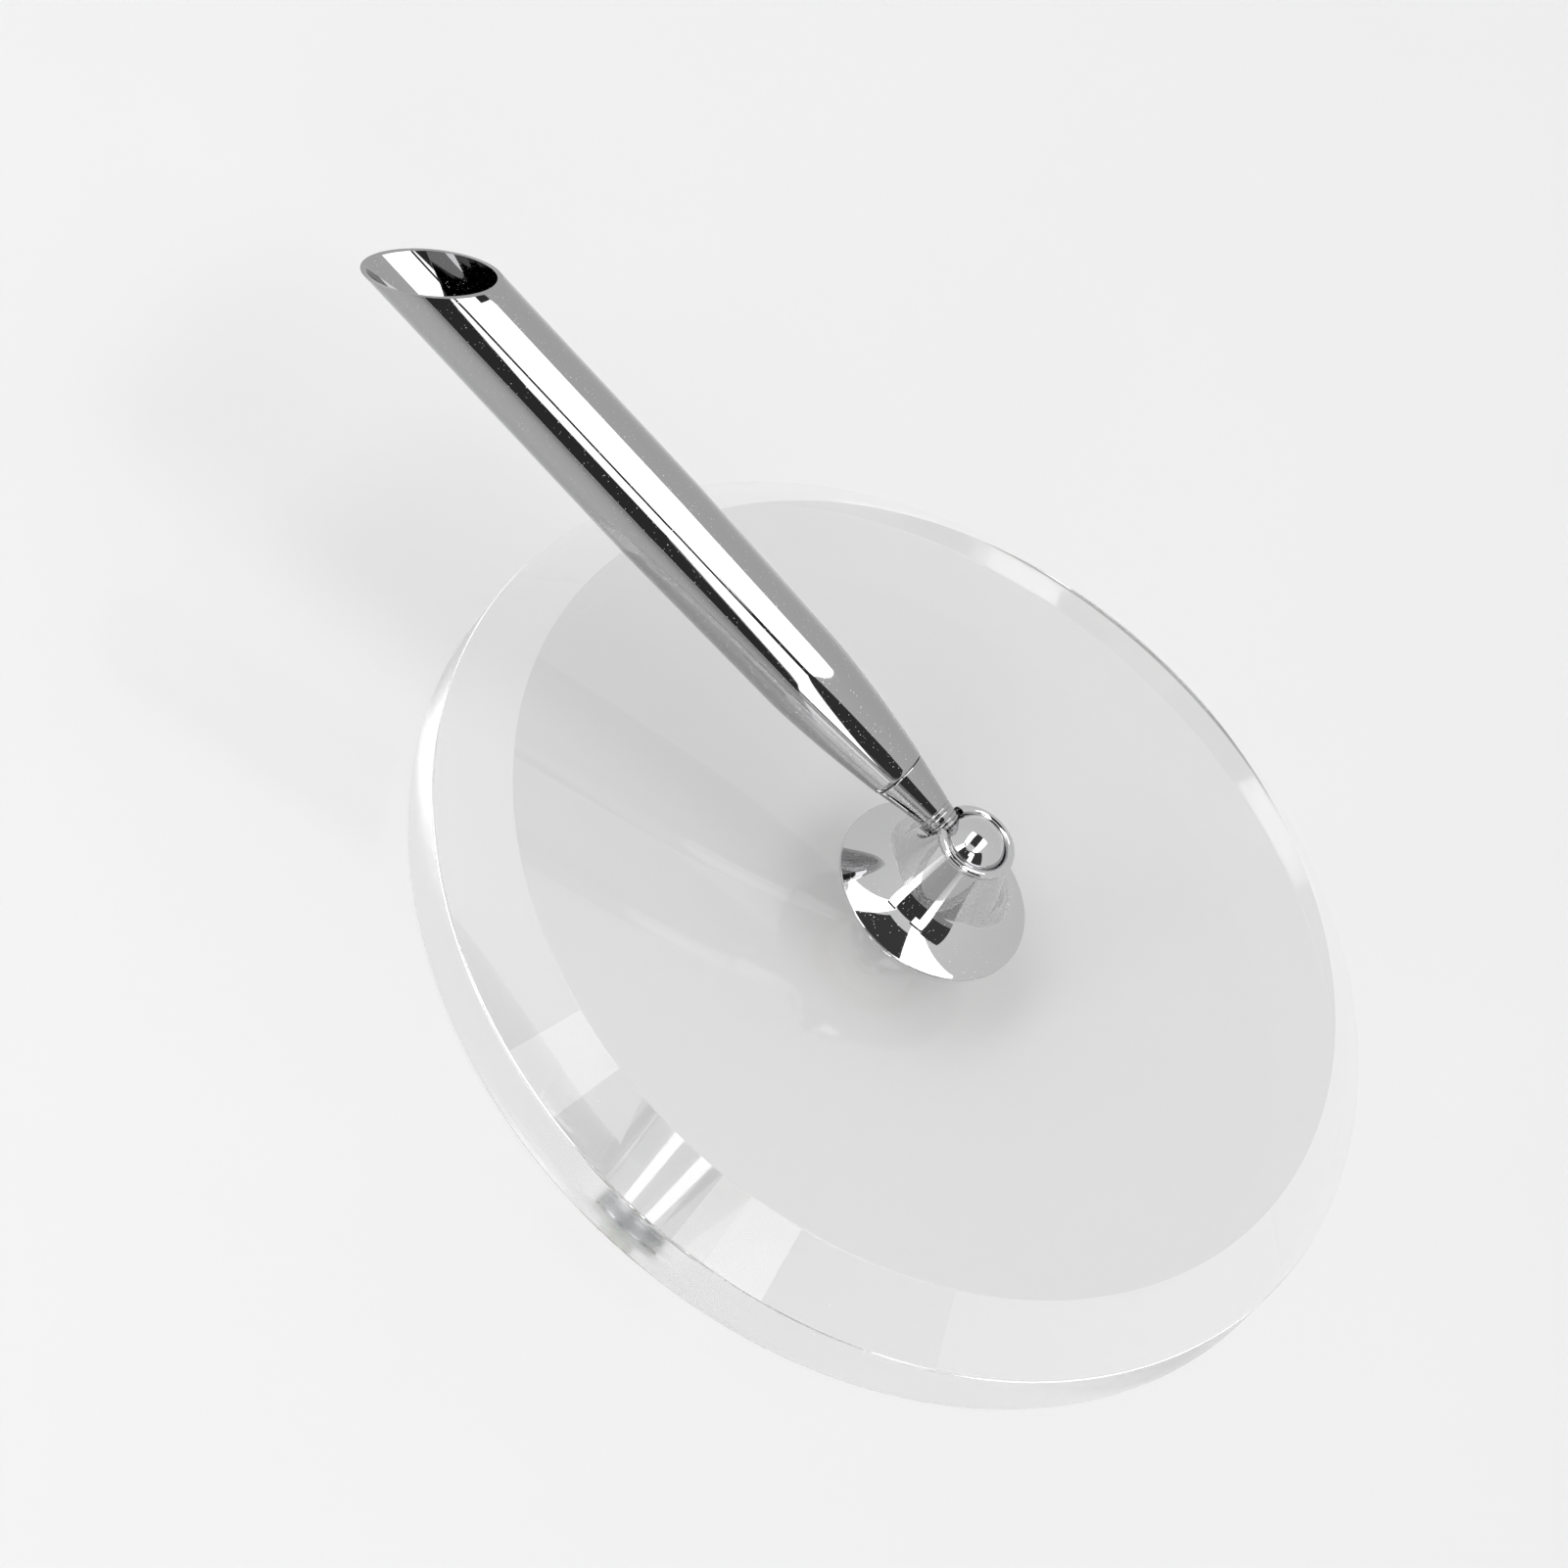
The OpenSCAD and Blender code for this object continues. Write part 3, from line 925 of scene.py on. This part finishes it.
def card(name, place, size, turn, grey):
    """Plain dark panel that the camera doesn't see, but reflections do."""
    obj = panel(name, *size)
    obj.location = place
    obj.rotation_euler = turn
    obj.visible_camera = False
    s = Shader(name + "_black")
    s.set(Base_Color=(0, 0, 0, 1), Roughness=1.0, Specular_IOR_Level=0.0, Emission_Color=(1, 1, 1, 1),
          Emission_Strength=grey)
    obj.data.materials.append(s.material)


def upright(azimuths, elevations, reach):
    """Place, size and turn of an upright panel that fills these azimuths and elevations, reach metres
    away."""
    middle = (azimuths[0] + azimuths[1]) / 2
    width = 2 * reach * math.tan(math.radians(azimuths[1] - azimuths[0]) / 2)
    low, high = (reach * math.tan(math.radians(e)) for e in elevations)
    place = aim(middle, 0) * reach + Vector((0, 0, disc_h * MM + (low + high) / 2))
    turn = (math.radians(90), 0, math.radians(middle))
    return place, (width, high - low), turn


def overhead(across, along, height, turn=0.0):
    """Place, size and turn of a level panel; across and along are spans of x and of -y, in heights."""
    place = Vector(((across[0] + across[1]) / 2, -(along[0] + along[1]) / 2, 1)) * height
    size = ((across[1] - across[0]) * height, (along[1] - along[0]) * height)
    return place, size, (0, 0, math.radians(turn))


def lights():
    """Two tall soft boxes in front, two long ones overhead, and dark gaps between them."""
    glow = 2.4
    box_reach, card_reach = 0.45, 0.5
    roof_height, gap_height = 1.1, 1.2

    boxes = (("left_box", (-44, -29), (4, 43)),
             ("right_box", (12, 25), (4, 29)),
             ("right_box_top", (4, 25), (29, 43)))
    for name, azimuths, elevations in boxes:
        place, size, turn = upright(azimuths, elevations, box_reach)
        room_light(name, place, size, glow, turn)

    roofs = (("left_roof", (-0.66, -0.34), -11),
             ("right_roof", (0.14, 0.50), 1))
    for name, across, angle in roofs:
        place, size, turn = overhead(across, (-0.3, 0.92), roof_height, angle)
        room_light(name, place, size, glow, turn)

    cards = (("front_gap", (-29, 12), (-1, 43), 0.05),
             ("side_gap", (25, 60), (12, 50), 0.06),
             ("side_foot", (25, 60), (3, 12), 0.35),
             ("left_lintel", (-45, -28), (43, 47), 0.05),
             ("right_lintel", (3, 26), (43, 47), 0.05),
             ("sill", (-45, 26), (1, 4), 0.08))
    for name, azimuths, elevations, grey in cards:
        place, size, turn = upright(azimuths, elevations, card_reach)
        card(name, place, size, turn, grey)
    place, size, turn = overhead((-0.29, 0.16), (-0.3, 0.5), gap_height)
    card("roof_gap", place, size, turn, 0.06)


def world():
    """Even pale room, a little brighter in front; the camera sees plain white behind the floor."""
    world_data = bpy.data.worlds.new("room")
    bpy.context.scene.world = world_data
    world_data.use_nodes = True
    nodes, links = world_data.node_tree.nodes, world_data.node_tree.links
    background = nodes["Background"]
    background.inputs["Color"].default_value = (1, 1, 1, 1)
    coordinates = nodes.new("ShaderNodeTexCoord")
    split = nodes.new("ShaderNodeSeparateXYZ")
    links.new(coordinates.outputs["Generated"], split.inputs["Vector"])
    front_glow, back_glow = 0.9, 0.78
    depth = nodes.new("ShaderNodeMapRange")
    links.new(split.outputs["Y"], depth.inputs["Value"])
    spans = {"From Min": -1.0, "From Max": 1.0, "To Min": front_glow, "To Max": back_glow}
    for name, number in spans.items():
        depth.inputs[name].default_value = number
    path = nodes.new("ShaderNodeLightPath")
    choose = nodes.new("ShaderNodeMix")
    links.new(path.outputs["Is Camera Ray"], choose.inputs["Factor"])
    links.new(depth.outputs["Result"], choose.inputs["A"])
    choose.inputs["B"].default_value = 1.0
    links.new(choose.outputs["Result"], background.inputs["Strength"])


def camera():
    """Camera at the photograph's viewing angle, rolled as the photograph is. In millimetres, aside and above
    say how far the origin stands to the right of the picture's middle, and how far above it."""
    azimuth, elevation = -2.7, 46.94
    roll = math.radians(-41.25)
    distance, aside, above = 1198.7, 11.46, -20.40
    back = aim(azimuth, elevation)
    right = Vector((math.cos(math.radians(azimuth)), math.sin(math.radians(azimuth)), 0))
    up = back.cross(right)
    across = math.cos(roll) * right - math.sin(roll) * up
    upward = math.sin(roll) * right + math.cos(roll) * up
    data = bpy.data.cameras.new("camera")
    data.lens = 224.86
    data.sensor_width = 36
    obj = bpy.data.objects.new("camera", data)
    turn = Matrix((across, upward, back)).transposed().to_4x4()
    obj.matrix_world = Matrix.Translation((distance * back - aside * across - above * upward) * MM) @ turn
    data.clip_start, data.clip_end = 0.05, 20
    bpy.context.scene.collection.objects.link(obj)
    bpy.context.scene.camera = obj


floor()
lights()
world()
camera()
bpy.context.scene.view_settings.view_transform = "Standard"
cycles = bpy.context.scene.cycles
cycles.max_bounces = cycles.glossy_bounces = cycles.transmission_bounces = 40
